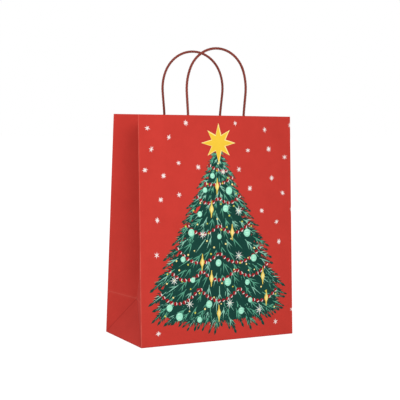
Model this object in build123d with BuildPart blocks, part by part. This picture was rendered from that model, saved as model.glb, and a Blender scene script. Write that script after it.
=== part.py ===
from build123d import *
from math import atan2, cos, degrees, sin, sqrt
import os

# A paper gift bag: one printed sheet folded and glued into a gusseted bag, a card in its base,
# and two twisted-paper cord handles glued between paper patches inside the mouth.
# Millimetres. Origin in the middle of the underside, +Z up, X across the wide faces,
# the front face towards -Y. "side" is -1 for front or left and 1 for back or right.

# The bag, outside sizes
bag_width = 254
base_depth = 127
mouth_depth = 86  # the wide faces lean in, so the mouth is shallower than the base
panel_height = 330  # along a leaning wide face
paper = 0.25

# The folded edges of the sheet
hem = 45  # turned in along the mouth
flap_overlap = 40  # where the two bottom flaps are glued over each other
seam_width = 18
seam_corner_gap = 0.8  # keeps strips out of the folded corners
hem_corner_gap = 1.2

# The card in the base
board_thickness = 1.0
board_gap = 2

# Handles: half widths and heights above the rim, from the foot of a leg to its shoulder
cord_diameter = 3.6
hinge_height = 3  # where the cord starts to swing, above the rim
front_loop = {"feet": 46.5, "waist": (48.9, 32), "shoulder": (44.2, 66.5), "shift": 0}
rear_loop = {"feet": 48.2, "waist": (51.4, 34), "shoulder": (46.9, 65), "shift": 3.5}

# Patches that hold the cord ends, below the rim
patch_width = 140
patch_height = 34
patch_drop = 8
cord_end_margin = 4
patch_clearance = 0.05

# Worked out from the sizes above
base_half = base_depth / 2
mouth_half = mouth_depth / 2
cord_radius = cord_diameter / 2
rim = sqrt(panel_height**2 - (base_half - mouth_half) ** 2)
lean = atan2(base_half - mouth_half, rim)

# The gusset folds. A gusset is as wide as the base is deep, and it closes inwards about its
# middle crease. Its corner folds run at 45 degrees in the flat sheet from the base's corners,
# and meet on the middle crease, where a level crease crosses the gusset.
gusset_half = base_half - paper
level_y = gusset_half * (1 - sin(lean))
level_z = gusset_half * cos(lean)
meet_z = (level_y**2 + level_z**2) / (2 * level_z)
meet_in = sqrt(gusset_half**2 - meet_z**2)
mouth_in = sqrt(gusset_half**2 - (mouth_half - paper) ** 2)

os.makedirs("parts", exist_ok=True)


def save(piece, name):
    """Label a finished piece and write it to its own file."""
    piece.part.label = name
    export_step(piece.part, f"parts/{name}.step")


def half_depth(height):
    """Half of the bag's outside depth at a height."""
    return base_half + (mouth_half - base_half) * height / rim


def wall_section(side, layer, low, high):
    """The cross-section of one paper layer of a wide face, layer 0 being the outside one."""
    outer_low = half_depth(low) - layer * paper
    outer_high = half_depth(high) - layer * paper
    with BuildLine() as outline:
        Polyline(
            (side * outer_low, low),
            (side * outer_high, high),
            (side * (outer_high - paper), high),
            (side * (outer_low - paper), low),
            close=True,
        )
    make_face(outline.edges())


def gusset_facet(corners, side, layer):
    """A flat triangle of the gusset, its thickness laid inwards along X."""
    inwards = Vector(-side, 0, 0)
    first, second, third = (Vector(*corner) + inwards * paper * layer for corner in corners)
    lie = Plane(origin=first, x_dir=second - first, z_dir=(second - first).cross(third - first))
    local = [lie.to_local_coords(point) for point in (first, second, third)]
    with BuildSketch(lie) as triangle:
        with BuildLine():
            Polyline(*[(point.X, point.Y) for point in local], close=True)
        make_face()
    extrude(triangle.sketch, amount=paper, dir=inwards)


# Wide faces of the sheet
for name, side in (("front_panel", -1), ("back_panel", 1)):
    with BuildPart() as panel:
        with BuildSketch(Plane.YZ):
            wall_section(side, 0, 0, rim)
        extrude(amount=bag_width / 2, both=True)
    save(panel, name)

# Gussets: two tall leaves, a corner triangle under each leaf, and a toe that rises from the base
for end, side in (("left", -1), ("right", 1)):
    edge_x = side * bag_width / 2
    meet = (edge_x - side * meet_in, 0, meet_z)
    crease_top = (edge_x - side * mouth_in, 0, rim)
    for half, towards in (("front", -1), ("rear", 1)):
        base_corner = (edge_x, towards * gusset_half, 0)
        level_point = (edge_x, towards * level_y, level_z)
        top_corner = (edge_x, towards * (mouth_half - paper), rim)
        leaf_facets = ((level_point, top_corner, crease_top), (level_point, crease_top, meet))

        with BuildPart() as leaf:
            for corners in leaf_facets:
                gusset_facet(corners, side, 0)
        save(leaf, f"{end}_gusset_{half}_leaf")

        with BuildPart() as turned_in:
            for corners in leaf_facets:
                gusset_facet(corners, side, 1)
            split(bisect_by=Plane.XY.offset(rim - hem), keep=Keep.TOP)
        save(turned_in, f"top_hem_{end}_{half}")

        with BuildPart() as corner:
            gusset_facet((base_corner, level_point, meet), side, 0)
        save(corner, f"{end}_gusset_{half}_corner")

    with BuildPart() as toe:
        toe_corners = ((edge_x, -gusset_half, 0), (edge_x, gusset_half, 0), meet)
        gusset_facet(toe_corners, side, 0)
    save(toe, f"{end}_gusset_toe")

# Hems of the wide faces, turned in and glued down along the mouth
for name, side in (("top_hem_front", -1), ("top_hem_back", 1)):
    with BuildPart() as turned_in:
        with BuildSketch(Plane.YZ):
            wall_section(side, 1, rim - hem, rim)
        extrude(amount=bag_width / 2 - hem_corner_gap, both=True)
    save(turned_in, name)

# Bottom: the rear flap lies outermost over the front flap, and the end flaps lie inside both.
# An end flap carries the folded corners, a second layer left open as a triangle.
flap_reach = base_half + flap_overlap / 2
flap_half_width = bag_width / 2 - seam_corner_gap
flap_half_depth = gusset_half - 0.2

for name, side, layer in (("bottom_flap_rear", 1, 0), ("bottom_flap_front", -1, 1)):
    free_half_width = flap_half_width - flap_reach
    free_edge_y = side * (flap_half_depth - flap_reach)
    with BuildPart() as flap:
        with BuildSketch(Plane.XY.offset(layer * paper)):
            with BuildLine():
                Polyline(
                    (-flap_half_width, side * flap_half_depth),
                    (flap_half_width, side * flap_half_depth),
                    (free_half_width, free_edge_y),
                    (-free_half_width, free_edge_y),
                    close=True,
                )
            make_face()
        extrude(amount=paper)
    save(flap, name)

for end, side in (("left", -1), ("right", 1)):
    outer_x = side * flap_half_width
    inner_x = outer_x - side * flap_reach
    apex_x = outer_x - side * flap_half_depth
    with BuildPart() as end_flap:
        with BuildSketch(Plane.XY.offset(2 * paper)):
            with BuildLine():
                Polyline(
                    (outer_x, -flap_half_depth),
                    (inner_x, -flap_half_depth),
                    (inner_x, flap_half_depth),
                    (outer_x, flap_half_depth),
                    (apex_x, 0),
                    close=True,
                )
            make_face()
        extrude(amount=paper)
        with BuildSketch(Plane.XY.offset(3 * paper)):
            with Locations(((outer_x + inner_x) / 2, 0)):
                Rectangle(flap_reach, 2 * flap_half_depth)
        extrude(amount=paper)
    save(end_flap, f"bottom_end_flap_{end}")

with BuildPart() as bottom_board:
    board_size = (bag_width - 2 * board_gap, base_depth - 2 * board_gap)
    with BuildSketch(Plane.XY.offset(4 * paper)):
        RectangleRounded(*board_size, radius=3)
    extrude(amount=board_thickness)
save(bottom_board, "bottom_board")

# The glued side seam: the sheet's last edge, inside the back panel at the right
board_top = 4 * paper + board_thickness
with BuildPart() as side_seam_flap:
    with BuildSketch(Plane.YZ.offset(bag_width / 2 - seam_corner_gap - seam_width)):
        wall_section(1, 1, board_top + 1, rim - hem - 0.5)
    extrude(amount=seam_width)
save(side_seam_flap, "side_seam_flap")

# Handles. Each cord is a loop above the rim, and its two ends lie flat between two patches.
hinge_y = mouth_half - 3 * paper - cord_radius
bulge_half_width = 2.2 * cord_radius
bulge_height = cord_diameter + patch_clearance
bulge_radius = (bulge_half_width**2 + bulge_height**2) / (2 * bulge_height)

for name, side, loop in (("front", -1, front_loop), ("rear", 1, rear_loop)):
    feet = loop["feet"]
    shift = loop["shift"]
    # Lies on the hem's inside face: local Y runs down the panel and local Z into the bag
    inside_face = Plane(
        origin=(shift, side * (mouth_half - 2 * paper), rim),
        x_dir=(-side, 0, 0),
        z_dir=(0, -side * cos(lean), -sin(lean)),
    )
    patch_foot = inside_face.from_local_coords(Vector(0, patch_drop + patch_height, paper))
    up_the_panel = Plane(origin=patch_foot, x_dir=inside_face.x_dir, z_dir=-inside_face.y_dir)

    with BuildPart() as patch_back:
        with BuildSketch(inside_face):
            with Locations((0, patch_drop + patch_height / 2)):
                Rectangle(patch_width, patch_height)
        extrude(amount=paper)
    save(patch_back, f"{name}_patch_backing")

    with BuildPart() as cord_ends:
        with BuildSketch(up_the_panel.offset(cord_end_margin)):
            with Locations((-feet, cord_radius), (feet, cord_radius)):
                Circle(cord_radius)
        extrude(amount=patch_height - cord_end_margin)
    save(cord_ends, f"{name}_cord_ends")

    with BuildPart() as patch_cover:
        with BuildSketch(up_the_panel):
            bulges = [(x, bulge_height - bulge_radius) for x in (-feet, feet)]
            Rectangle(patch_width, paper, align=(Align.CENTER, Align.MIN))
            with Locations(*bulges):
                Circle(bulge_radius + paper)
            with Locations(*bulges):
                Circle(bulge_radius, mode=Mode.SUBTRACT)
            Rectangle(
                patch_width,
                bulge_height + 2 * paper,
                align=(Align.CENTER, Align.MIN),
                mode=Mode.INTERSECT,
            )
        extrude(amount=patch_height)
    save(patch_cover, f"{name}_patch_cover")

    waist_x, waist_z = loop["waist"]
    shoulder_x, shoulder_z = loop["shoulder"]
    loop_plane = Plane(origin=(shift, side * hinge_y, rim), x_dir=(1, 0, 0), z_dir=(0, -1, 0))
    with BuildPart() as handle:
        with BuildLine(loop_plane) as path:
            left_leg = Line((-feet, hinge_height), (-waist_x, waist_z))
            left_arc = TangentArc(left_leg @ 1, (-shoulder_x, shoulder_z), tangent=left_leg % 1)
            crown = TangentArc(left_arc @ 1, (shoulder_x, shoulder_z), tangent=left_arc % 1)
            right_arc = TangentArc(crown @ 1, (waist_x, waist_z), tangent=crown % 1)
            Line(right_arc @ 1, (feet, hinge_height))
        with BuildSketch(Plane(origin=path.line @ 0, z_dir=path.line % 0)):
            Circle(cord_radius)
        sweep()
        with Locations(path.line @ 0, path.line @ 1):
            Sphere(cord_radius)
    save(handle, f"{name}_handle")
    free_length = hinge_height + sum(edge.length for edge in path.edges()) + hinge_height
    top = handle.part.bounding_box().max.Z - rim
    print(f"{name} handle: {free_length:.1f} mm of cord above the rim, {top:.1f} mm high")

print(f"rim {rim:.2f} high, wide faces lean {degrees(lean):.2f} degrees, hinges at y {hinge_y:.2f}")
print(f"corner folds meet {meet_z:.1f} up and {meet_in:.1f} in, the mouth folds {mouth_in:.1f} in")
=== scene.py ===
# The looks of a paper gift bag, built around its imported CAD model.
# Metres, in the row frame: +Z up, X across the wide faces, the front face towards -Y.
# The bag is one printed sheet. It is drawn flat, artwork included, and then folded: a point of the
# flat sheet is (s, v), s running round the bag from the side seam and v up from the base edge.
import math
import random

import bpy
import numpy as np
from mathutils import Matrix, Vector
from mathutils.geometry import delaunay_2d_cdt


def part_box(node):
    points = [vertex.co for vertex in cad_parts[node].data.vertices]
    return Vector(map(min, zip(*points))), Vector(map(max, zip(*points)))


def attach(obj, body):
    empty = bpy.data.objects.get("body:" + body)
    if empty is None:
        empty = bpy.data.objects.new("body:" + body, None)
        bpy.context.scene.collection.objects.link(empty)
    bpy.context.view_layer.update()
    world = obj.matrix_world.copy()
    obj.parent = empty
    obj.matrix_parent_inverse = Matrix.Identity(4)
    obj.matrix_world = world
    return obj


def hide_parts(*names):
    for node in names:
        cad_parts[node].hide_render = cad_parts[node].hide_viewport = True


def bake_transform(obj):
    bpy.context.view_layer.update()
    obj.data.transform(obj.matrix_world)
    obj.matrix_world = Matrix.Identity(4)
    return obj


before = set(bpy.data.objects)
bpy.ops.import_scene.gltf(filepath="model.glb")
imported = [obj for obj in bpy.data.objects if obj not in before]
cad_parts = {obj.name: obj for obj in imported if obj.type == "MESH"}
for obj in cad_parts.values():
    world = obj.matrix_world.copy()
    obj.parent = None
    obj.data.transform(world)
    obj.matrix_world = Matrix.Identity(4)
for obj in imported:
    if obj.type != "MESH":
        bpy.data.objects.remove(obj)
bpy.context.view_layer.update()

MM = 0.001
scene = bpy.context.scene

# ---------------------------------------------------------------- sizes, from the frame
panel_low, panel_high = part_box("front_panel")
flap_low, flap_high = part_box("bottom_flap_rear")
half_width = panel_high.x
base_half = -panel_low.y
rim = panel_high.z
paper = flap_high.z - flap_low.z
mouth_half = paper - panel_high.y
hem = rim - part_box("top_hem_front")[0].z
panel_length = math.hypot(rim, base_half - mouth_half)
lean = math.atan2(base_half - mouth_half, rim)

# The gusset's folds, worked out as in the CAD model but on the sheet's outer face
gusset = base_half  # from a wide face to the middle crease, flat
level_y = gusset * (1 - math.sin(lean))
level_z = gusset * math.cos(lean)
meet_z = (level_y**2 + level_z**2) / (2 * level_z)
meet_in = math.sqrt(gusset**2 - meet_z**2)
mouth_in = math.sqrt(gusset**2 - mouth_half**2)

# The flat sheet: where each field starts, from the seam at the back right corner
WIDTH = 2 * half_width
S_BACK = 0.0
S_LEFT_REAR = WIDTH
S_LEFT_FRONT = WIDTH + gusset
S_FRONT = WIDTH + 2 * gusset
S_RIGHT_FRONT = 2 * WIDTH + 2 * gusset
S_RIGHT_REAR = 2 * WIDTH + 3 * gusset
S_END = 2 * WIDTH + 4 * gusset
FOLDS = (S_BACK, S_LEFT_REAR, S_LEFT_FRONT, S_FRONT, S_RIGHT_FRONT, S_RIGHT_REAR, S_END)

SHEET = 0.9 * paper  # drawn thickness, a little less so that folded layers don't touch
BOTTOM_RADIUS = 0.45 * MM
RIM_RADIUS = paper
FOLD_RADIUS = 0.7 * MM
V_START = BOTTOM_RADIUS * (1 - math.pi / 2)
V_TURN = panel_length - RIM_RADIUS
V_HEM = V_TURN + math.pi * RIM_RADIUS
V_END = V_HEM + hem
CELLS = 16  # across a gusset leaf
CELL = gusset / CELLS
CREASE_WIDTH = 0.6 * MM


# ---------------------------------------------------------------- folding the flat sheet
def smooth(x, low, high):
    """0 below low, 1 above high, and a smooth step between."""
    t = np.clip((x - low) / (high - low), 0, 1)
    return t * t * (3 - 2 * t)


def wall_place(v):
    """How far up the wall a height of the flat sheet lies, and how far inside its outer face."""
    under = np.clip((BOTTOM_RADIUS - v) / BOTTOM_RADIUS, 0, math.pi / 2)
    over = np.clip((v - V_TURN) / RIM_RADIUS, 0, math.pi)
    up = np.clip(v, BOTTOM_RADIUS, V_TURN) - BOTTOM_RADIUS * np.sin(under)
    up = up + RIM_RADIUS * np.sin(over) - np.clip(v - V_HEM, 0, None)
    inset = BOTTOM_RADIUS * (1 - np.cos(under)) + RIM_RADIUS * (1 - np.cos(over))
    return up, inset


def half_depth(up):
    return base_half - (base_half - mouth_half) * up / panel_length


def crease_inset(up):
    """How far the gusset's middle crease lies inside its edges, from the level crease up."""
    bow = 2.5 * MM
    t = np.clip((up - gusset) / (panel_length - gusset), 0, 1)
    return meet_in + (mouth_in - meet_in) * t + bow * 4 * t * (1 - t)


def leaf_point(u, up, inset, side, towards):
    """A point of a gusset, u from its wide face. side is -1 left, 1 right; towards -1 front, 1 rear."""
    depth = half_depth(up)
    crease_in = crease_inset(up)
    span = np.hypot(crease_in, depth)
    t = np.clip((up - gusset) / (panel_length - gusset), 0, 1)
    across = u / gusset
    edge_x = half_width - inset * (span + crease_in) / depth
    crease_x = half_width - crease_in - inset * span / depth
    crease_z = meet_z + (rim - meet_z) * t
    tall = np.stack(
        [
            edge_x * (1 - across) + crease_x * across,
            (depth - inset) * (1 - across),
            up * math.cos(lean) * (1 - across) + crease_z * across,
        ],
        axis=-1,
    )
    base = np.array([half_width, base_half, 0])
    level = np.array([half_width, level_y, level_z])
    meet = np.array([half_width - meet_in, 0, meet_z])
    middle = np.array([half_width, 0, 0])
    u_part = (u / gusset)[..., None]
    v_part = (up / gusset)[..., None]
    corner = base + (v_part - u_part) * (level - base) + u_part * (meet - base)
    toe = base + v_part * (meet - middle) + u_part * (middle - base)
    low = np.where((u <= up)[..., None], corner, toe)
    low = low - np.stack([inset, inset * (1 - across), 0 * inset], axis=-1)
    point = np.where((up < gusset)[..., None], low, tall)
    return point * np.array([side, towards, 1])


def panel_point(x, up, inset, side):
    """A point of a wide face. side is -1 front, 1 back."""
    depth = half_depth(up)
    crease_in = np.where(up < gusset, 0, crease_inset(up))
    corner_in = inset * (np.hypot(crease_in, depth) + crease_in) / depth
    return np.stack(
        [x * (1 - corner_in / half_width), side * (depth - inset), up * math.cos(lean)], axis=-1
    )


def folded(s, up, inset):
    """Where points of the flat sheet lie once it is folded, with sharp folds."""
    s = np.mod(s, S_END)
    point = panel_point(half_width - s, up, inset, 1)
    fields = (
        (S_LEFT_REAR, leaf_point(s - S_LEFT_REAR, up, inset, -1, 1)),
        (S_LEFT_FRONT, leaf_point(S_FRONT - s, up, inset, -1, -1)),
        (S_FRONT, panel_point(s - S_FRONT - half_width, up, inset, -1)),
        (S_RIGHT_FRONT, leaf_point(s - S_RIGHT_FRONT, up, inset, 1, -1)),
        (S_RIGHT_REAR, leaf_point(S_END - s, up, inset, 1, 1)),
    )
    for start, there in fields:
        point = np.where((s >= start)[..., None], there, point)
    return point


def rounded(s, up, inset):
    """The folded sheet with its folds rounded off."""
    wide = 0.7 * FOLD_RADIUS
    tall = np.where((up > 4 * MM) & (up < panel_length - 4 * MM), wide, 0)
    total = folded(s, up, inset)
    for ds, dv in ((-1, 0), (1, 0), (0, -1), (0, 1), (-1, -1), (1, -1), (-1, 1), (1, 1)):
        total = total + folded(s + ds * wide, up + dv * tall, inset)
    return total / 9


def unit(vectors):
    return vectors / np.maximum(np.linalg.norm(vectors, axis=-1, keepdims=True), 1e-12)


def normals(place, s, v):
    """Unit normals, on the printed side, of a surface place(s, v)."""
    step = 0.15 * MM
    across = place(s + step, v) - place(s - step, v)
    up = place(s, v + step) - place(s, v - step)
    return unit(np.cross(across, up))


def ripple(a, b, seed):
    """Soft uneven waves over a field of the sheet, between about -1 and 1."""
    source = random.Random(seed)
    total = 0
    for length in (210, 150, 95, 70):
        angle = source.uniform(0, math.pi)
        phase = source.uniform(0, 2 * math.pi)
        turn = 2 * math.pi / (length * MM)
        total = total + length * np.sin(turn * (a * math.cos(angle) + b * math.sin(angle)) + phase)
    return total / 400


def panel_relief(x, up, seed):
    """How far a wide face stands out of its plane: a soft belly, waves, and flat at the patch."""
    edges = 1 - np.abs(x / half_width) ** 4
    height = np.sin(math.pi * np.clip(up / panel_length, 0, 1)) ** 0.8
    patch = smooth(np.abs(x), 70 * MM, 100 * MM) + smooth(panel_length - up, 48 * MM, 95 * MM)
    waves = ripple(x, up, seed) * smooth(up, 0, 40 * MM) * np.clip(patch, 0, 1)
    return edges * (1.5 * MM * height * np.clip(patch, 0, 1) + 0.8 * MM * waves)


def leaf_relief(u, up, seed):
    """How far a gusset leaf bulges out of its ruled shape."""
    arch = np.sin(math.pi * np.clip(u / gusset, 0, 1))
    rise = smooth(up, gusset, 130 * MM) * (1 - 0.6 * smooth(up, 250 * MM, panel_length))
    waves = ripple(u * 1.5, up, seed) * smooth(up, 10 * MM, 60 * MM)
    return arch * (1.6 * MM * rise + 0.6 * MM * waves)


def relief(s, up):
    s = np.mod(s, S_END)
    rear_fold = np.exp(-np.abs(up - gusset) / (4 * MM))
    back = panel_relief(half_width - s, up, 11)
    back = back - 0.5 * MM * rear_fold * (1 - np.abs(1 - s / half_width) ** 12)
    result = back
    fields = (
        (S_LEFT_REAR, leaf_relief(s - S_LEFT_REAR, up, 12)),
        (S_LEFT_FRONT, leaf_relief(S_FRONT - s, up, 13)),
        (S_FRONT, panel_relief(s - S_FRONT - half_width, up, 14)),
        (S_RIGHT_FRONT, leaf_relief(s - S_RIGHT_FRONT, up, 15)),
        (S_RIGHT_REAR, leaf_relief(S_END - s, up, 16)),
    )
    for start, there in fields:
        result = np.where(s >= start, there, result)
    return result


def layer_place(s, up, inset):
    """A point at an inset from the bag's outer face, the waves of the paper included."""
    still = np.zeros_like(s)
    outwards = normals(lambda a, b: rounded(a, b, still), s, up)
    return rounded(s, up, inset) + outwards * relief(s, up)[..., None]


def sheet_place(s, v):
    """The printed face of the sheet, round the bottom fold and over into the hem."""
    up, inset = wall_place(v)
    return layer_place(s, up, inset)


# ---------------------------------------------------------------- materials
def colour(red, green, blue):
    """A scene-linear colour from an 8-bit display colour with no channel below 11."""
    return [((c / 255 + 0.055) / 1.055) ** 2.4 for c in (red, green, blue)] + [1]


def add_node(tree, kind, **values):
    node = tree.nodes.new(kind)
    for name, value in values.items():
        if name in node.inputs:
            node.inputs[name].default_value = value
        else:
            setattr(node, name, value)
    return node


def paper_material(name, shade, mottle=0.06, worn=None, painted_shade=None, rough=0.85):
    """Uncoated paper: cloudy ink, fine fibres, ink worn off where the sheet is folded, and painted shade
    in creases and recesses.
    """
    material = bpy.data.materials.new(name)
    material.use_nodes = True
    tree = material.node_tree
    links = tree.links
    shader = tree.nodes["Principled BSDF"]
    shader.inputs["Roughness"].default_value = rough
    shader.inputs["Specular IOR Level"].default_value = 0.08
    place = add_node(tree, "ShaderNodeTexCoord")
    clouds = add_node(tree, "ShaderNodeTexNoise", Scale=38.0, Detail=5.0, Roughness=0.62)
    fibres = add_node(tree, "ShaderNodeTexNoise", Scale=1500.0, Detail=3.0, Roughness=0.7)
    stretch = add_node(tree, "ShaderNodeMapping")
    stretch.inputs["Scale"].default_value = (1.0, 1.0, 0.22)
    links.new(place.outputs["Object"], clouds.inputs["Vector"])
    links.new(place.outputs["Object"], stretch.inputs["Vector"])
    links.new(stretch.outputs["Vector"], fibres.inputs["Vector"])
    both = add_node(tree, "ShaderNodeMath", operation="ADD")
    links.new(clouds.outputs["Fac"], both.inputs[0])
    links.new(fibres.outputs["Fac"], both.inputs[1])
    spread = add_node(tree, "ShaderNodeMapRange")
    spread.inputs["From Min"].default_value = 0.7
    spread.inputs["From Max"].default_value = 1.3
    links.new(both.outputs[0], spread.inputs["Value"])
    ink = add_node(tree, "ShaderNodeMix", data_type="RGBA")
    ink.inputs[6].default_value = [c * (1 - mottle) for c in shade[:3]] + [1]
    ink.inputs[7].default_value = [min(1, c * (1 + mottle) + 0.02 * mottle) for c in shade[:3]] + [1]
    links.new(spread.outputs["Result"], ink.inputs[0])
    last = ink.outputs[2]
    # wear lightens worn ink; the second attribute is painted shade, darkening creases, the bottom edge and
    # the cord's twist
    for attribute, target in (("wear", worn), ("painted_shade", painted_shade)):
        if target is not None:
            value = add_node(tree, "ShaderNodeAttribute", attribute_name=attribute)
            patchy = add_node(tree, "ShaderNodeMapRange")
            patchy.inputs["From Min"].default_value = 0.3
            patchy.inputs["From Max"].default_value = 0.65
            patchy.inputs["To Min"].default_value = 0.45
            links.new(fibres.outputs["Fac"], patchy.inputs["Value"])
            amount = add_node(tree, "ShaderNodeMath", operation="MULTIPLY")
            links.new(value.outputs["Fac"], amount.inputs[0])
            links.new(patchy.outputs["Result"], amount.inputs[1])
            wear_and_painted_shade_mix = add_node(tree, "ShaderNodeMix", data_type="RGBA")
            wear_and_painted_shade_mix.inputs[7].default_value = target
            links.new(amount.outputs[0], wear_and_painted_shade_mix.inputs[0])
            links.new(last, wear_and_painted_shade_mix.inputs[6])
            last = wear_and_painted_shade_mix.outputs[2]
    links.new(last, shader.inputs["Base Color"])
    bump = add_node(tree, "ShaderNodeBump", Strength=0.35, Distance=0.00006)
    links.new(fibres.outputs["Fac"], bump.inputs["Height"])
    links.new(bump.outputs["Normal"], shader.inputs["Normal"])
    return material


RED = colour(174, 49, 41)
WORN_RED = colour(200, 104, 90)
# painted shade for the gusset's slanting creases and the sheet's bottom edge
PAINTED_SHADE_RED = colour(120, 24, 20)
INKS = {
    "red": paper_material("red_ink", RED, 0.06, worn=WORN_RED, painted_shade=PAINTED_SHADE_RED),
    "tree": paper_material("tree_ink", colour(12, 55, 47), 0.16),
    "needle": paper_material("needle_ink", colour(80, 146, 120), 0.1),
    "needle_pale": paper_material("pale_needle_ink", colour(122, 176, 154), 0.1),
    "mint": paper_material("mint_ink", colour(138, 203, 176), 0.05),
    "mint_pale": paper_material("pale_mint_ink", colour(172, 222, 196), 0.05),
    "bead": paper_material("bead_ink", colour(135, 18, 26), 0.08),
    "snow": paper_material("snow_ink", colour(216, 220, 214), 0.03),
    "white": paper_material("white_ink", colour(216, 202, 198), 0.03, worn=colour(216, 208, 204)),
    "yellow": paper_material("yellow_ink", colour(215, 176, 52), 0.05),
    "gold": paper_material("gold_ink", colour(206, 180, 78), 0.05),
    "cream": paper_material("cream_ink", colour(222, 204, 130), 0.04),
    "dot": paper_material("dot_ink", colour(180, 180, 70), 0.08),
}
INSIDE = paper_material("inside_paper", colour(212, 207, 198), 0.03)
PATCH = paper_material("patch_paper", colour(206, 198, 182), 0.04)
BOARD = paper_material("board_card", colour(190, 184, 172), 0.05)
# the cord's darker colour is painted shade, laid into the valleys between its twisted plies
CORD = paper_material("cord_paper", colour(128, 60, 50), 0.2, painted_shade=colour(52, 18, 17), rough=0.7)


# ---------------------------------------------------------------- the print, drawn flat in millimetres
# x from the middle of a wide face, y up from the base edge. Each shape is (rank, ink, points);
# where shapes overlap, the higher rank is seen.
TREE_TOP = 272
STAR = (2, 290)
TRIM = 1000  # the rank of the lowest ornament, above every branch
PRINT_SEED = 5
DOTS = 56
GROUND_STARS = 29


def tree_half_width(y):
    return min(12 + 0.53 * (TREE_TOP - 4 - y), 109 + 0.16 * (110 - y))


def tree_foot(x):
    """How low the branches reach."""
    return 14 + 30 * (abs(x) / 119) ** 3


def turned(points, x, y, angle):
    c, s = math.cos(angle), math.sin(angle)
    return [(x + a * c - b * s, y + a * s + b * c) for a, b in points]


def disc(x, y, width, height, count=18):
    steps = [2 * math.pi * i / count for i in range(count)]
    return [(x + width / 2 * math.cos(t), y + height / 2 * math.sin(t)) for t in steps]


def stroke(x, y, angle, length, width):
    """A tapered brush stroke that starts thin, swells and runs out to a point."""
    outline = [(0, -0.25), (0.4, -0.5), (1, 0), (0.4, 0.5), (0, 0.25)]
    return turned([(a * length, b * width) for a, b in outline], x, y, angle)


def frond(x, y, angle, length, rank, ragged, source):
    """A fir branch: a dark shape, toothed if its edge can be seen, and needles in paler strokes."""
    width = 0.33 * length
    teeth = 6 if ragged else 0
    pitch = length / 7
    side = [(-0.1 * length, 0.2 * width)]
    for k in range(teeth):
        reach = width * (1 - k / 6.4) * source.uniform(0.75, 1.25)
        side.append((pitch * k, 0.4 * reach))
        side.append((pitch * (k + source.uniform(1.6, 2.1)), reach))
    if not ragged:
        side += [(0.25 * length, 0.8 * width), (0.6 * length, 0.6 * width)]
    outline = [(a, -b) for a, b in side] + [(1.12 * length, 0)] + side[::-1]
    shapes = [(rank, "tree", turned(outline, x, y, angle))]
    ink = source.choice(("needle", "needle", "needle_pale"))
    shapes.append((rank + 1, ink, stroke(x, y, angle, length * 0.92, 1.45)))
    for k in range(source.choice((1, 1, 2))):
        along = length * (0.16 + 0.3 * k)
        for way in (-1, 1):
            if source.random() < 0.8:
                foot = turned([(along, 0)], x, y, angle)[0]
                reach = (0.46 - 0.1 * k) * length * source.uniform(0.85, 1.25)
                spray = angle + way * source.uniform(0.34, 0.52)
                shapes.append((rank + 1, ink, stroke(*foot, spray, reach, 1.35)))
    return shapes


def branch_aim(x, half):
    """Branches hang straight down in the middle of the tree and spread towards its sides."""
    out = max(-1, min(1, x / max(half, 1)))
    return -math.pi / 2 + 1.12 * math.copysign(abs(out) ** 0.75, out)


def tree_shapes(source):
    heights = np.linspace(TREE_TOP, 60, 18)
    left = [(-(tree_half_width(y) - min(19, 0.4 * tree_half_width(y))), y) for y in heights]
    right = [(-x, y) for x, y in reversed(left)]
    foot = [(x, tree_foot(x) + 15) for x in np.linspace(-94, 94, 15)]
    shapes = [(1, "tree", left + foot + right)]
    rank = 10
    for row in range(3):  # the lowest branches, whose tips make the ragged foot
        x = -112 + source.uniform(0, 5)
        while x < 112:
            length = source.uniform(19, 30)
            aim = branch_aim(x, 116) + source.uniform(-0.3, 0.3)
            tip = tree_foot(x) + 7 * row + source.choice((-2, 0, 4, 9)) + source.uniform(-1, 1)
            start = (x - length * math.cos(aim), tip - length * math.sin(aim))
            shapes += frond(*start, aim, length, rank, True, source)
            rank += 2
            x += source.uniform(9, 13.5)
    y = 58.0
    while y < TREE_TOP + 6:  # then row upon row, each over the one below
        half = tree_half_width(y)
        size = min(27, 9 + 0.13 * (TREE_TOP - y))
        count = max(3, round(2 * half / (0.68 * size)))
        places = [(half * (2 * k / (count - 1) - 1) * 0.97, y) for k in range(count)]
        for side in (-1, 1):
            between = y + 0.33 * size
            places.append((side * tree_half_width(between) * source.uniform(0.82, 1.06), between))
        for x, height in places:
            length = size * source.uniform(0.85, 1.2)
            aim = branch_aim(x, half) + source.uniform(-0.16, 0.16)
            tip_x = x + source.uniform(-2, 2)
            tip_y = height + source.uniform(-4, 4)
            start = (tip_x - length * math.cos(aim), tip_y - length * math.sin(aim))
            shapes += frond(*start, aim, length, rank, abs(x) > 0.72 * half, source)
            rank += 2
        y += 0.66 * size
    return shapes


def bead(x, y, source):
    """A bead with a crescent of light on it."""
    size = source.uniform(5.0, 5.8)
    crescent = [(0.45 * size * math.cos(t), 0.45 * size * math.sin(t)) for t in np.linspace(-1.0, 1.0, 8)]
    crescent += [(0.24 * size * math.cos(t), 0.26 * size * math.sin(t)) for t in np.linspace(0.8, -0.8, 5)]
    return [
        (TRIM + 2, "bead", disc(x, y, size, size, 12)),
        (TRIM + 3, "white", turned(crescent, x, y, source.uniform(-1.2, 0.4))),
    ]


def garland(points, sag, source):
    """Beads on a thread hung between points."""
    shapes = []
    for (x0, y0), (x1, y1) in zip(points, points[1:]):
        chain = []
        for t in np.linspace(0, 1, 21):
            chain.append((x0 + (x1 - x0) * t, y0 + (y1 - y0) * t - sag * 4 * t * (1 - t)))
        upper = [(x, y + 0.35) for x, y in chain]
        lower = [(x, y - 0.35) for x, y in chain]
        shapes.append((TRIM + 1, "bead", lower + upper[::-1]))
        steps = [math.dist(a, b) for a, b in zip(chain, chain[1:])]
        count = max(2, round(sum(steps) / 7.4))
        along = np.cumsum([0] + steps)
        for k in range(count):
            d = sum(steps) * (k + 0.5) / count
            x = float(np.interp(d, along, [p[0] for p in chain]))
            y = float(np.interp(d, along, [p[1] for p in chain]))
            shapes += bead(x, y, source)
    return shapes


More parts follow.
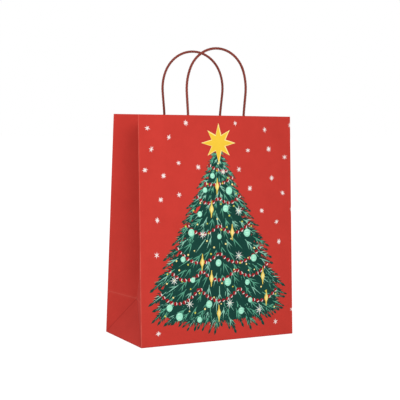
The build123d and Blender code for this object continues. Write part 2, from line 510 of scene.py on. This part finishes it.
def bauble(x, y, size, source):
    shapes = [(TRIM + 4, "mint", disc(x, y, 0.9 * size, size, 20))]
    for k in range(3):
        height = y + size * (0.24 - 0.22 * k)
        length = size * source.uniform(0.4, 0.65)
        start = x - length / 2 + source.uniform(-0.06, 0.06) * size
        shine = stroke(start, height, source.uniform(-0.2, 0.3), length, 0.13 * size)
        shapes.append((TRIM + 5, "mint_pale", shine))
    return shapes


def drop(x, y, size, source):
    """A long spindle ornament with a pale facet."""
    upper = [(0.02, 0.5), (0.045, 0.25), (0.12, 0.08)]
    side = upper + [(0.14, 0.0), (0.11, -0.1), (0.045, -0.25), (0.02, -0.5)]
    outline = side + [(-a, b) for a, b in reversed(side)]
    facet = [(0.02, 0.26), (0.09, 0.0), (0.02, -0.24), (-0.07, -0.02)]
    tilt = source.uniform(-0.05, 0.05)
    return [
        (TRIM + 6, "gold", turned([(a * size, b * size) for a, b in outline], x, y, tilt)),
        (TRIM + 7, "cream", turned([(a * size, b * size) for a, b in facet], x, y, tilt)),
    ]


def snowflake(x, y, size, source):
    shapes = []
    for k in range(8):
        angle = k * math.pi / 4 + source.uniform(-0.08, 0.08)
        length = size / 2 * (1.2 if k % 4 == 2 else 1) * source.uniform(0.85, 1.1)
        shapes.append((TRIM + 8, "snow", stroke(x, y, angle, length, 0.95)))
    shapes.append((TRIM + 9, "cream", disc(x, y, 1.8, 1.8, 8)))
    return shapes


def small_star(x, y, source):
    """Three or four quick strokes crossing each other on the plain ground."""
    count = source.choice((3, 3, 4))
    start = source.uniform(0, math.pi)
    shapes = []
    for k in range(count):
        angle = start + math.pi * k / count + source.uniform(-0.12, 0.12)
        reach = source.uniform(3.5, 5.0)
        lower = [(-reach, 0), (-0.5 * reach, -0.6), (0.6 * reach, -0.55)]
        outline = lower + [(reach, 0), (0.4 * reach, 0.6), (-0.6 * reach, 0.55)]
        shapes.append((TRIM + 10, "white", turned(outline, x, y, angle)))
    return shapes


def top_star():
    """The eight-pointed star on top of the tree, the lower point longest."""
    rays = (31.5, 26, 28.5, 27, 29, 26, 29, 26)
    valley = 12.6
    pale = []
    inner = []
    for k, ray in enumerate(rays):
        angle = -math.pi / 2 + k * math.pi / 4
        between = angle + math.pi / 8
        pale.append((STAR[0] + ray * math.cos(angle), STAR[1] + ray * math.sin(angle)))
        pale.append((STAR[0] + valley * math.cos(between), STAR[1] + valley * math.sin(between)))
        tip = 0.9 * ray
        inner.append((STAR[0] - 0.5 + tip * math.cos(angle), STAR[1] - 0.3 + tip * math.sin(angle)))
        low = 0.88 * valley
        inner.append((STAR[0] - 0.5 + low * math.cos(between), STAR[1] - 0.3 + low * math.sin(between)))
    return [(TRIM + 11, "cream", pale), (TRIM + 12, "yellow", inner)]


def ornament_shapes(source):
    """Garlands in swags, then rows of baubles, drops and snowflakes between them, then dots."""
    shapes = []
    upper = ((254, 1, 4), (236, 1, 7), (209, 2, 10), (173, 2, 14))
    lower = ((135, 2, 19), (108, 3, 15), (74, 3, 19))
    for y, hangs, sag in upper + lower:
        half = 0.86 * tree_half_width(y)
        ends = np.linspace(-half, half, hangs + 1)
        points = [(x, y + source.uniform(-6, 6)) for x in ends]
        shapes += garland(points, sag, source)
    kinds = (
        (bauble, 11), (snowflake, 14), (bauble, 8), (drop, 24), (bauble, 12),
        (bauble, 8.5), (drop, 25), (bauble, 10.5), (snowflake, 14.5),
    )
    taken = []
    turn = 0
    for y, count in ((247, 2), (222, 3), (190, 4), (155, 5), (118, 5), (88, 6), (58, 6), (36, 5)):
        half = 0.84 * tree_half_width(y) * (0.85 if y < 40 else 1)
        for k in range(count):
            x = half * (2 * (k + 0.5) / count - 1) + source.uniform(-3, 3)
            height = y + source.uniform(-6, 6)
            make, size = kinds[turn % len(kinds)]
            turn += 1
            shapes += make(x, height, size * (0.75 if y > 230 else 1), source)
            taken.append((x, height))
    tries = 0
    dots = 0
    while dots < DOTS and tries < 900:
        tries += 1
        y = source.uniform(34, TREE_TOP - 12)
        x = source.uniform(-0.86, 0.86) * tree_half_width(y)
        if all(math.dist((x, y), other) > 9.5 for other in taken):
            size = source.uniform(2.2, 3.1)
            shapes.append((TRIM + 4, source.choice(("dot", "dot", "cream")), disc(x, y, size, size, 8)))
            taken.append((x, y))
            dots += 1
    return shapes


def ground_stars(source, folded_over):
    """Small stars scattered over the plain ground, some of them across the right-hand fold."""
    edge = half_width / MM
    over = [(edge, 317), (edge + 0.5, 190), (edge - 0.5, 37)]
    placed = list(over)
    tries = 0
    while len(placed) < GROUND_STARS and tries < 6000:
        tries += 1
        x = source.uniform(-edge + 8, edge - 8)
        y = source.uniform(11, 322)
        beside_tree = abs(x) > tree_half_width(y) + 12 or y < tree_foot(x) - 6
        beside_star = math.dist((x, y), STAR) > 38
        apart = all(math.dist((x, y), other) > 29 for other in placed)
        if beside_tree and beside_star and apart:
            placed.append((x, y))
    if not folded_over:
        placed = placed[len(over) :]
    return [shape for x, y in placed for shape in small_star(x, y, source)]


def face_print(seed, folded_over):
    source = random.Random(seed)
    shapes = tree_shapes(source)
    shapes += ornament_shapes(source)
    shapes += top_star()
    shapes += ground_stars(source, folded_over)
    return shapes


# ---------------------------------------------------------------- meshing the flat sheet
def grid_columns():
    """Places across the flat sheet, closer together beside each fold."""
    columns = set()
    for start, end in zip(FOLDS, FOLDS[1:]):
        count = round((end - start) / CELL)
        columns.update(np.round(np.linspace(start, end, count + 1), 8))
        for near in (0.35, 0.8, 1.5):
            columns.update(np.round([start + near * MM, end - near * MM], 8))
    return sorted(columns)


def grid_rows():
    """Heights up the flat sheet, closer together at the bottom fold and round the rim."""
    rows = list(np.linspace(V_START, BOTTOM_RADIUS, 6))
    rows += [0.9 * MM, 1.6 * MM] + [CELL * i for i in range(1, CELLS + 1)]
    rows += list(np.linspace(gusset, V_TURN, round((V_TURN - gusset) / CELL) + 1)[1:])
    rows += list(np.linspace(V_TURN, V_HEM, 8)[1:])
    rows += list(np.linspace(V_HEM, V_END, 12)[1:])
    return [round(float(r), 8) for r in rows]


def leaf_starts():
    """Where each gusset leaf meets its wide face, and which way it runs."""
    return ((S_LEFT_REAR, 1), (S_FRONT, -1), (S_RIGHT_FRONT, 1), (S_END, -1))


def flat_mesh(shapes):
    """Cut the flat sheet into triangles along its folds and its print.

    Returns the points and, for each triangle, its corners and the number of its ink."""
    points = [(s, v) for s in grid_columns() for v in grid_rows()]
    for start, way in leaf_starts():
        for k in range(1, 4 * CELLS):
            along = gusset * k / (4 * CELLS)
            for off in (-CREASE_WIDTH, CREASE_WIDTH):
                points.append((start + way * (along + off), along - off))
        for k in range(1, CELLS):
            for off in (-CREASE_WIDTH, CREASE_WIDTH):
                points.append((start + way * CELL * k, gusset + off))
    index = {}
    flat = []

    def found(s, v):
        """The number of the point at a place, which is new unless one lies within 0.01 mm."""
        key = (round(s / MM + 0.003, 2), round(v / MM + 0.003, 2))
        if key not in index:
            index[key] = len(flat)
            flat.append(Vector((s / MM, v / MM)))
        return index[key]

    for s, v in points:
        found(s, v)

    edges = []
    for start, way in leaf_starts():
        folds = [found(start + way * CELL * k, CELL * k) for k in range(1, CELLS + 1)]
        edges += list(zip(folds, folds[1:]))
    for fold in FOLDS:
        line = [found(fold, v) for v in grid_rows()]
        edges += list(zip(line, line[1:]))
    if shapes:
        for start, end in ink_borders(flat, edges, shapes):
            edges.append((len(flat), len(flat) + 1))
            flat += [Vector(start), Vector(end)]
    place, corners = triangles(flat, edges)
    return place * MM, corners, inks_at(place[corners].mean(axis=1), shapes)


def triangles(points, edges):
    """Points and counter-clockwise triangles that fill the plane between points, along the edges."""
    result = delaunay_2d_cdt(points, edges, [], 0, 1e-4, False)
    corners = np.array([list(face) for face in result[2]])
    place = np.array([[p.x, p.y] for p in result[0]])
    a, b, c = place[corners[:, 0]], place[corners[:, 1]], place[corners[:, 2]]
    area = (b[:, 0] - a[:, 0]) * (c[:, 1] - a[:, 1]) - (b[:, 1] - a[:, 1]) * (c[:, 0] - a[:, 0])
    corners[area < 0] = corners[area < 0][:, ::-1]
    return place, corners


def ink_borders(points, edges, shapes):
    """The lines along which the print changes ink: the parts of the outlines that can be seen."""
    points, edges = list(points), list(edges)
    for _, _, outline in shapes:
        first = len(points)
        points.extend(Vector(p) for p in outline)
        edges += [(first + k, first + (k + 1) % len(outline)) for k in range(len(outline))]
    place, corners = triangles(points, edges)
    seen = np.tile(inks_at(place[corners].mean(axis=1), shapes), 3)
    sides = np.sort(np.vstack([corners[:, [0, 1]], corners[:, [1, 2]], corners[:, [2, 0]]]), axis=1)
    order = np.lexsort((sides[:, 1], sides[:, 0]))
    sides, seen = sides[order], seen[order]
    shared = np.all(sides[1:] == sides[:-1], axis=1) & (seen[1:] != seen[:-1])
    return [(place[a], place[b]) for a, b in sides[1:][shared]]


def inks_at(places, shapes):
    """The ink seen at each place: that of the highest shape it lies in, or else the ground's."""
    names = list(INKS)
    order = np.argsort(places[:, 0])
    sorted_x = places[order, 0]
    seen = np.full(len(places), names.index("red"))
    for _, ink, outline in sorted(shapes, key=lambda shape: shape[0]):
        line = np.array(outline)
        first, last = np.searchsorted(sorted_x, (line[:, 0].min(), line[:, 0].max()))
        near = order[first:last]
        near = near[(places[near, 1] > line[:, 1].min()) & (places[near, 1] < line[:, 1].max())]
        x, y = places[near, 0], places[near, 1]
        inside = np.zeros(len(near), bool)
        for (x0, y0), (x1, y1) in zip(line, np.roll(line, -1, axis=0)):
            if y0 != y1:
                crosses = (y0 > y) != (y1 > y)
                inside ^= crosses & (x < x0 + (x1 - x0) * (y - y0) / (y1 - y0))
        seen[near[inside]] = names.index(ink)
    return seen


def wear_at(place):
    """How worn the ink is: most along the outer folds, less along the gusset's creases."""
    s, v = place[:, 0], place[:, 1]
    up, _ = wall_place(v)
    wear = np.zeros(len(s))
    for fold in (S_LEFT_REAR, S_FRONT, S_RIGHT_FRONT, S_END, S_BACK):
        patchy = 0.75 + 0.25 * np.sin(up / (17 * MM) + fold * 90) * np.sin(up / (5.3 * MM))
        wear = np.maximum(wear, patchy * np.exp(-(((s - fold) / (0.75 * MM)) ** 2)))
    for fold in (S_LEFT_FRONT, S_RIGHT_REAR):
        wear = np.maximum(wear, 0.3 * (up > gusset) * np.exp(-(((s - fold) / (0.5 * MM)) ** 2)))
    level = np.exp(-(((up - gusset) / (0.45 * MM)) ** 2))
    on_front = (s > S_FRONT) & (s < S_RIGHT_FRONT)
    return np.maximum(wear, 0.4 * level * ~on_front)


def painted_crease_shade_at(place):
    """Painted shade: darker along the gusset's slanting folds, which lie inwards, and along the bottom
    edge.
    """
    s, v = place[:, 0], place[:, 1]
    dark = np.zeros(len(s))
    for start, way in leaf_starts():
        u = (s - start) * way
        dark = np.maximum(dark, np.exp(-(((u - v) / CREASE_WIDTH) ** 2)) * (v < gusset) * (u < gusset))
    return np.maximum(0.7 * dark, 0.6 * (1 - smooth(v, 0.2 * MM, 1.5 * MM)))


def boundary_line(place, along, across, value):
    """The sheet's points on one of its straight edges, in order."""
    on_edge = np.nonzero(np.abs(place[:, across] - value) < 1e-6)[0]
    return on_edge[np.argsort(place[on_edge, along])]


def make_sheet(name, shapes):
    """The folded printed sheet as one closed mesh."""
    outer, outer_faces, inks = flat_mesh(shapes)
    inner, inner_faces, _ = flat_mesh([])
    printed = sheet_place(outer[:, 0], outer[:, 1])
    back_normal = normals(sheet_place, inner[:, 0], inner[:, 1])
    plain = sheet_place(inner[:, 0], inner[:, 1]) - back_normal * SHEET
    shift = len(outer)
    faces = [tuple(f) for f in outer_faces] + [tuple(shift + f[::-1]) for f in inner_faces]
    names = list(INKS)
    slots = list(inks) + [len(names)] * len(inner_faces)
    for along, across, value, way in (
        (0, 1, V_START, 1), (0, 1, V_END, -1), (1, 0, 0.0, -1), (1, 0, S_END, 1),
    ):
        above = boundary_line(outer, along, across, value)
        below = boundary_line(inner, along, across, value) + shift
        for i in range(len(above) - 1):
            quad = (above[i], below[i], below[i + 1], above[i + 1])
            faces.append(quad if way > 0 else quad[::-1])
            slots.append(len(names))
    mesh = bpy.data.meshes.new(name)
    mesh.from_pydata(np.vstack([printed, plain]).tolist(), [], [[int(i) for i in f] for f in faces])
    for ink in names:
        mesh.materials.append(INKS[ink])
    mesh.materials.append(INSIDE)
    mesh.polygons.foreach_set("material_index", np.array(slots, np.int32))
    mesh.polygons.foreach_set("use_smooth", np.ones(len(faces), bool))
    # wear lightens the outer folds; the second attribute is painted shade on the slanting creases and the
    # bottom edge
    for attribute, values in (("wear", wear_at(outer)), ("painted_shade", painted_crease_shade_at(outer))):
        both = np.concatenate([values, np.zeros(len(inner))]).astype(np.float32)
        mesh.attributes.new(attribute, "FLOAT", "POINT").data.foreach_set("value", both)
    mesh.update()
    mesh.validate()
    mesh.set_sharp_from_angle(angle=math.radians(50))
    piece = bpy.data.objects.new(name, mesh)
    scene.collection.objects.link(piece)
    return piece


def sheet_print():
    """The print of both wide faces, placed on the flat sheet."""
    placed = []
    for start, folded_over in ((S_FRONT, True), (S_BACK, False)):
        middle = (start + half_width) / MM
        for rank, ink, outline in face_print(PRINT_SEED, folded_over):
            placed.append((rank, ink, [(middle + x, y) for x, y in outline]))
    return placed


bag_sheet = make_sheet("printed_bag_sheet", sheet_print())
sheet_nodes = [
    node
    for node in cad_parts
    if node.endswith("_panel") or "_gusset_" in node or node.startswith("top_hem")
]
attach(bag_sheet, "bag")
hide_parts(*sheet_nodes)


def make_lining(name, s_range, up_range, inset, thickness, material):
    """A strip of paper glued to the inside of a wall."""
    columns = np.linspace(*s_range, max(3, round((s_range[1] - s_range[0]) / CELL) + 1))
    rows = np.linspace(*up_range, max(3, round((up_range[1] - up_range[0]) / CELL) + 1))
    s, up = (grid.ravel() for grid in np.meshgrid(columns, rows, indexing="ij"))
    near = layer_place(s, up, np.full_like(s, inset))
    far = layer_place(s, up, np.full_like(s, inset + thickness))
    count = len(rows)
    total = len(s)
    faces = []
    for i in range(len(columns) - 1):
        for j in range(count - 1):
            a = i * count + j
            quad = (a, a + count, a + count + 1, a + 1)
            faces.append(quad)
            faces.append(tuple(total + k for k in reversed(quad)))
    rim_loop = [i * count for i in range(len(columns))]
    rim_loop += [(len(columns) - 1) * count + j for j in range(1, count)]
    rim_loop += [i * count + count - 1 for i in range(len(columns) - 2, -1, -1)]
    rim_loop += [j for j in range(count - 2, 0, -1)]
    for a, b in zip(rim_loop, rim_loop[1:] + rim_loop[:1]):
        faces.append((b, a, total + a, total + b))
    mesh = bpy.data.meshes.new(name)
    mesh.from_pydata(np.vstack([near, far]).tolist(), [], faces)
    mesh.materials.append(material)
    mesh.update()
    piece = bpy.data.objects.new(name, mesh)
    scene.collection.objects.link(piece)
    return piece


seam_low, seam_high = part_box("side_seam_flap")
seam_flap = make_lining(
    "glued_seam_flap",
    (half_width - seam_high.x, half_width - seam_low.x),
    (seam_low.z, seam_high.z),
    paper + 0.02 * MM,
    SHEET,
    INSIDE,
)
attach(seam_flap, "bag")
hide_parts("side_seam_flap")


# ---------------------------------------------------------------- CAD nodes that keep their shape
def repaint(node, material):
    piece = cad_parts[node]
    piece.data.materials.clear()
    piece.data.materials.append(material)


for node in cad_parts:
    if node.startswith("bottom_flap") or node.startswith("bottom_end_flap"):
        repaint(node, INKS["red"])
    elif node.endswith("_patch_backing") or node.endswith("_patch_cover"):
        repaint(node, PATCH)
    elif node == "bottom_board":
        repaint(node, BOARD)


# ---------------------------------------------------------------- handles
CORD_RADIUS = 1.8 * MM
HINGE_HEIGHT = 3 * MM
TWIST_PITCH = 13 * MM
PLIES = 3
LOOPS = {
    "front": {"side": -1, "feet": 46.5, "waist": (48.9, 32), "shoulder": (44.2, 66.5), "shift": 0.0},
    "rear": {"side": 1, "feet": 48.2, "waist": (51.4, 34), "shoulder": (46.9, 65), "shift": 3.5},
}


def tangent_arc(start, end, direction, count):
    """Points of the arc that leaves start along direction and reaches end, and its last direction."""
    start, end = np.array(start, float), np.array(end, float)
    direction = np.array(direction, float) / np.hypot(*direction)
    right = np.array([direction[1], -direction[0]])
    chord = end - start
    radius = (chord @ chord) / (2 * (chord @ right))
    centre = start + radius * right
    first = math.atan2(*(start - centre)[::-1])
    last = math.atan2(*(end - centre)[::-1])
    while last > first:
        last -= 2 * math.pi
    angles = np.linspace(first, last, count)
    points = centre + radius * np.stack([np.cos(angles), np.sin(angles)], axis=1)
    return points, np.array([math.sin(last), -math.cos(last)])


def cord_line(loop):
    """The middle line of one cord, from one glued end over the loop to the other."""
    side = loop["side"]
    feet, shift = loop["feet"] * MM, loop["shift"] * MM
    waist = np.array(loop["waist"]) * MM
    shoulder = np.array(loop["shoulder"]) * MM
    foot = np.array([-feet, HINGE_HEIGHT])
    waist_left = np.array([-waist[0], waist[1]])
    shoulder_left = np.array([-shoulder[0], shoulder[1]])
    leg = np.linspace(foot, waist_left, 30)
    arc, heading = tangent_arc(waist_left, shoulder_left, waist_left - foot, 30)
    crown, _ = tangent_arc(shoulder_left, shoulder, heading, 120)
    half = np.vstack([leg, arc[1:], crown[1:60]])
    flat = np.vstack([half, (half * [-1, 1])[::-1]])
    hinge_y = mouth_half - 3 * paper - CORD_RADIUS
    loop_points = np.stack([flat[:, 0], np.full(len(flat), side * hinge_y), rim + flat[:, 1]], axis=1)
    low_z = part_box(("front" if side < 0 else "rear") + "_cord_ends")[0].z
    ends = []
    for x in (-feet, feet):
        down = np.linspace((rim - low_z) / math.cos(lean), 6 * MM, 24)
        y = side * (hinge_y + down * math.sin(lean))
        ends.append(np.stack([np.full(24, x), y, rim - down * math.cos(lean)], axis=1))
    line = np.vstack([ends[0], loop_points, ends[1][::-1]])
    line[:, 0] += shift
    return line


def even_line(line, step, soften):
    """The line with evenly spaced points, its kinks eased over a length."""
    along = np.concatenate([[0], np.cumsum(np.linalg.norm(np.diff(line, axis=0), axis=1))])
    count = round(along[-1] / step) + 1
    even = np.linspace(0, along[-1], count)
    result = np.stack([np.interp(even, along, line[:, k]) for k in range(3)], axis=1)
    width = round(soften / step)
    for _ in range(2):
        padded = np.vstack(
            [
                2 * result[0] - result[width:0:-1],
                result,
                2 * result[-1] - result[-2 : -width - 2 : -1],
            ]
        )
        kernel = np.ones(2 * width + 1) / (2 * width + 1)
        result = np.stack([np.convolve(padded[:, k], kernel, mode="valid") for k in range(3)], axis=1)
    return result


def make_cord(name, loop):
    """A twisted paper cord: plies wound round the middle line, closed at both ends."""
    step = 0.5 * MM
    around = 30
    line = even_line(cord_line(loop), step, 2.5 * MM)
    heading = unit(np.gradient(line, axis=0))
    aside = unit(np.cross(heading, np.array([0.0, 1.0, 0.0])))
    forward = np.cross(heading, aside)
    angles = np.linspace(0, 2 * math.pi, around, endpoint=False)
    source = np.random.RandomState(3 if loop["side"] < 0 else 4)
    knots = np.arange(0, len(line) + 24, 24)
    uneven = np.interp(np.arange(len(line)), knots, source.normal(0, 1, len(line) // 24 + 2))
    verts = []
    painted_shade = []
    for i, centre in enumerate(line):
        twist = 2 * math.pi * i * step / TWIST_PITCH + 0.25 * uneven[i]
        lobes = np.abs(np.cos(PLIES / 2 * (angles - twist)))
        radius = CORD_RADIUS * (0.93 + 0.11 * lobes) * (1 + 0.015 * uneven[i])
        ring = np.cos(angles)[:, None] * aside[i] + np.sin(angles)[:, None] * forward[i]
        verts.append(centre + ring * radius[:, None])
        # painted shade: darkest in the valleys between the plies
        painted_shade.append(np.clip(1 - lobes * 1.5, 0, 1))
    count = len(line)
    faces = []
    for i in range(count - 1):
        for j in range(around):
            k = (j + 1) % around
            faces.append((i * around + j, i * around + k, (i + 1) * around + k, (i + 1) * around + j))
    faces.append(tuple(reversed(range(around))))
    faces.append(tuple((count - 1) * around + j for j in range(around)))
    mesh = bpy.data.meshes.new(name)
    mesh.from_pydata(np.vstack(verts).tolist(), [], faces)
    mesh.materials.append(CORD)
    mesh.polygons.foreach_set("use_smooth", np.ones(len(faces), bool))
    mesh.attributes.new("painted_shade", "FLOAT", "POINT").data.foreach_set(
        "value", np.concatenate(painted_shade).astype(np.float32)
    )
    mesh.update()
    piece = bpy.data.objects.new(name, mesh)
    scene.collection.objects.link(piece)
    length = np.linalg.norm(np.diff(line, axis=0), axis=1).sum()
    print(f"{name}: {length / MM:.0f} mm of cord")
    return piece


for end, loop in LOOPS.items():
    cord = make_cord(f"{end}_twisted_cord", loop)
    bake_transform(cord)
    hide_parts(f"{end}_handle", f"{end}_cord_ends")


# ---------------------------------------------------------------- floor, light and camera
def make_floor():
    mesh = bpy.data.meshes.new("floor")
    reach = 12.0
    corners = [(-reach, -reach, 0), (reach, -reach, 0), (reach, reach, 0), (-reach, reach, 0)]
    mesh.from_pydata(corners, [], [(0, 1, 2, 3)])
    material = bpy.data.materials.new("pale_floor")
    material.use_nodes = True
    shader = material.node_tree.nodes["Principled BSDF"]
    shader.inputs["Base Color"].default_value = (0.25, 0.25, 0.25, 1)
    shader.inputs["Roughness"].default_value = 1.0
    shader.inputs["Specular IOR Level"].default_value = 0.0
    shader.inputs["Emission Color"].default_value = (1, 1, 1, 1)
    shader.inputs["Emission Strength"].default_value = 0.84
    mesh.materials.append(material)
    piece = bpy.data.objects.new("floor", mesh)
    scene.collection.objects.link(piece)


def make_light(name, place, target, cone, size, power):
    """A soft spotlight, brightest at its target."""
    data = bpy.data.lights.new(name, "SPOT")
    data.shadow_soft_size = size
    data.spot_size = math.radians(cone)
    data.spot_blend = 1.0
    data.energy = power
    piece = bpy.data.objects.new(name, data)
    piece.location = place
    piece.rotation_euler = (Vector(target) - Vector(place)).to_track_quat("-Z", "Y").to_euler()
    piece.visible_camera = False
    scene.collection.objects.link(piece)


def make_camera():
    """The camera stands left of the front face, level with the rim, and looks slightly down."""
    turn, pitch, roll = math.radians(-28.2), math.radians(4.6), math.radians(0.93)
    place = Vector((-0.753, -1.399, 0.330))
    ahead = Vector((-math.sin(turn) * math.cos(pitch), math.cos(turn) * math.cos(pitch), -math.sin(pitch)))
    right = Vector((math.cos(turn), math.sin(turn), 0))
    above = right.cross(ahead)
    right_rolled = right * math.cos(roll) + above * math.sin(roll)
    above_rolled = above * math.cos(roll) - right * math.sin(roll)
    rotation = Matrix((right_rolled, above_rolled, -ahead)).transposed()
    data = bpy.data.cameras.new("camera")
    data.sensor_width = 36
    data.lens = 95.3
    piece = bpy.data.objects.new("camera", data)
    piece.matrix_world = Matrix.Translation(place) @ rotation.to_4x4()
    scene.collection.objects.link(piece)
    scene.camera = piece


def make_world():
    world = bpy.data.worlds.new("studio")
    world.use_nodes = True
    world.node_tree.nodes["Background"].inputs["Color"].default_value = (1, 1, 1, 1)
    world.node_tree.nodes["Background"].inputs["Strength"].default_value = 1.0
    scene.world = world


make_floor()
make_world()
make_camera()
make_light("key", (-0.35, -1.6, 0.9), (-0.16, 0, 0.2), 34, 0.25, 50)
make_light("fill", (-1.15, -1.0, 1.1), (-0.12, 0, 0.34), 16, 0.15, 18)
scene.view_settings.view_transform = "Standard"

print("faces of the sheet:", len(bag_sheet.data.polygons))
